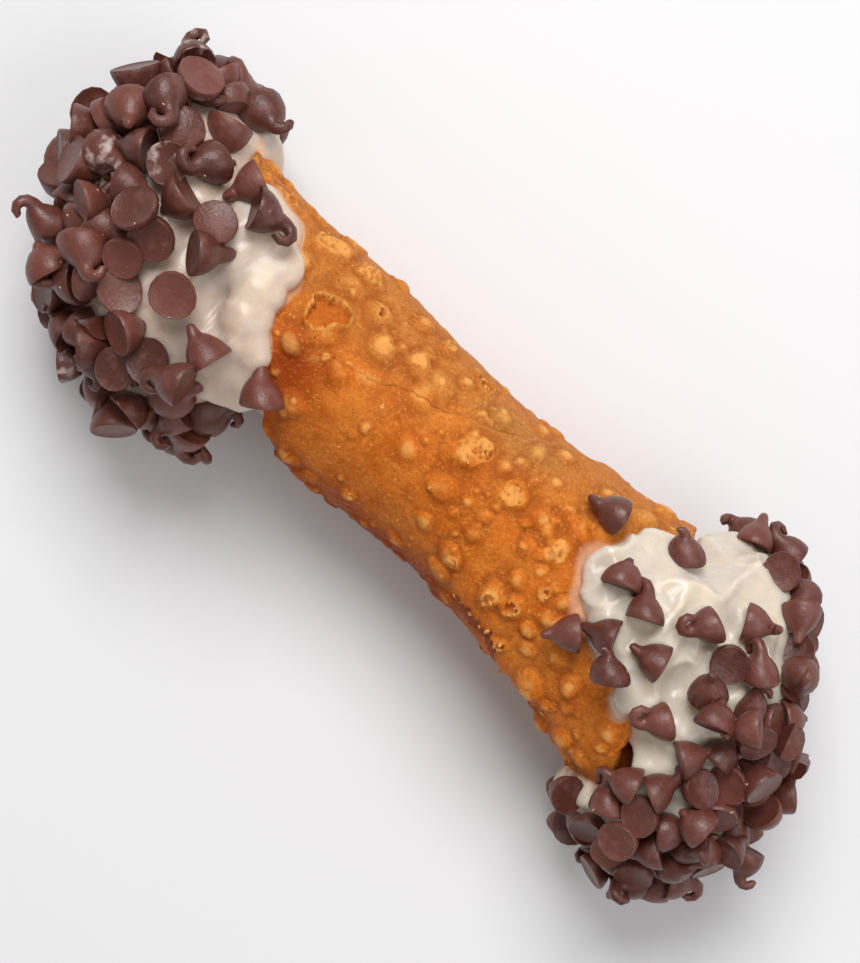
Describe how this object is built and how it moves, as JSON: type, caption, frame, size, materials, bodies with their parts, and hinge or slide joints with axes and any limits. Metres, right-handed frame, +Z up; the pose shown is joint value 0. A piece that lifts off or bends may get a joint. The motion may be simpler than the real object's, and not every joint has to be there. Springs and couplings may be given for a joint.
{
  "type": "cannoli",
  "caption": "Fried pastry tube with a blistered, overlapped wall, filled with whipped ricotta cream that swells out at both ends and is dipped in small chocolate chips.",
  "frame": {"origin": "middle of the footprint, on the surface that the cannoli lies on", "axes": "+X along the pastry tube, from the end with the larger chocolate chips to the other end; +Z up, away from the surface; +Y towards the long side of the slanted left rim"},
  "size_m": [0.1573, 0.0607, 0.0463],
  "materials": {
    "pastry": "deep-fried golden-orange pastry crust, blistered, slightly oily; matte_plastic stands in for baked dough",
    "cream": "soft off-white whipped ricotta cream, moist and smooth; gloss_plastic stands in for cream",
    "chocolate": "satin milk-chocolate brown chips with a faint dusty bloom; gloss_plastic stands in for chocolate"
  },
  "bodies": {
    "root": {"shell": "pastry", "filling": "cream"}
  },
  "joints": []
}
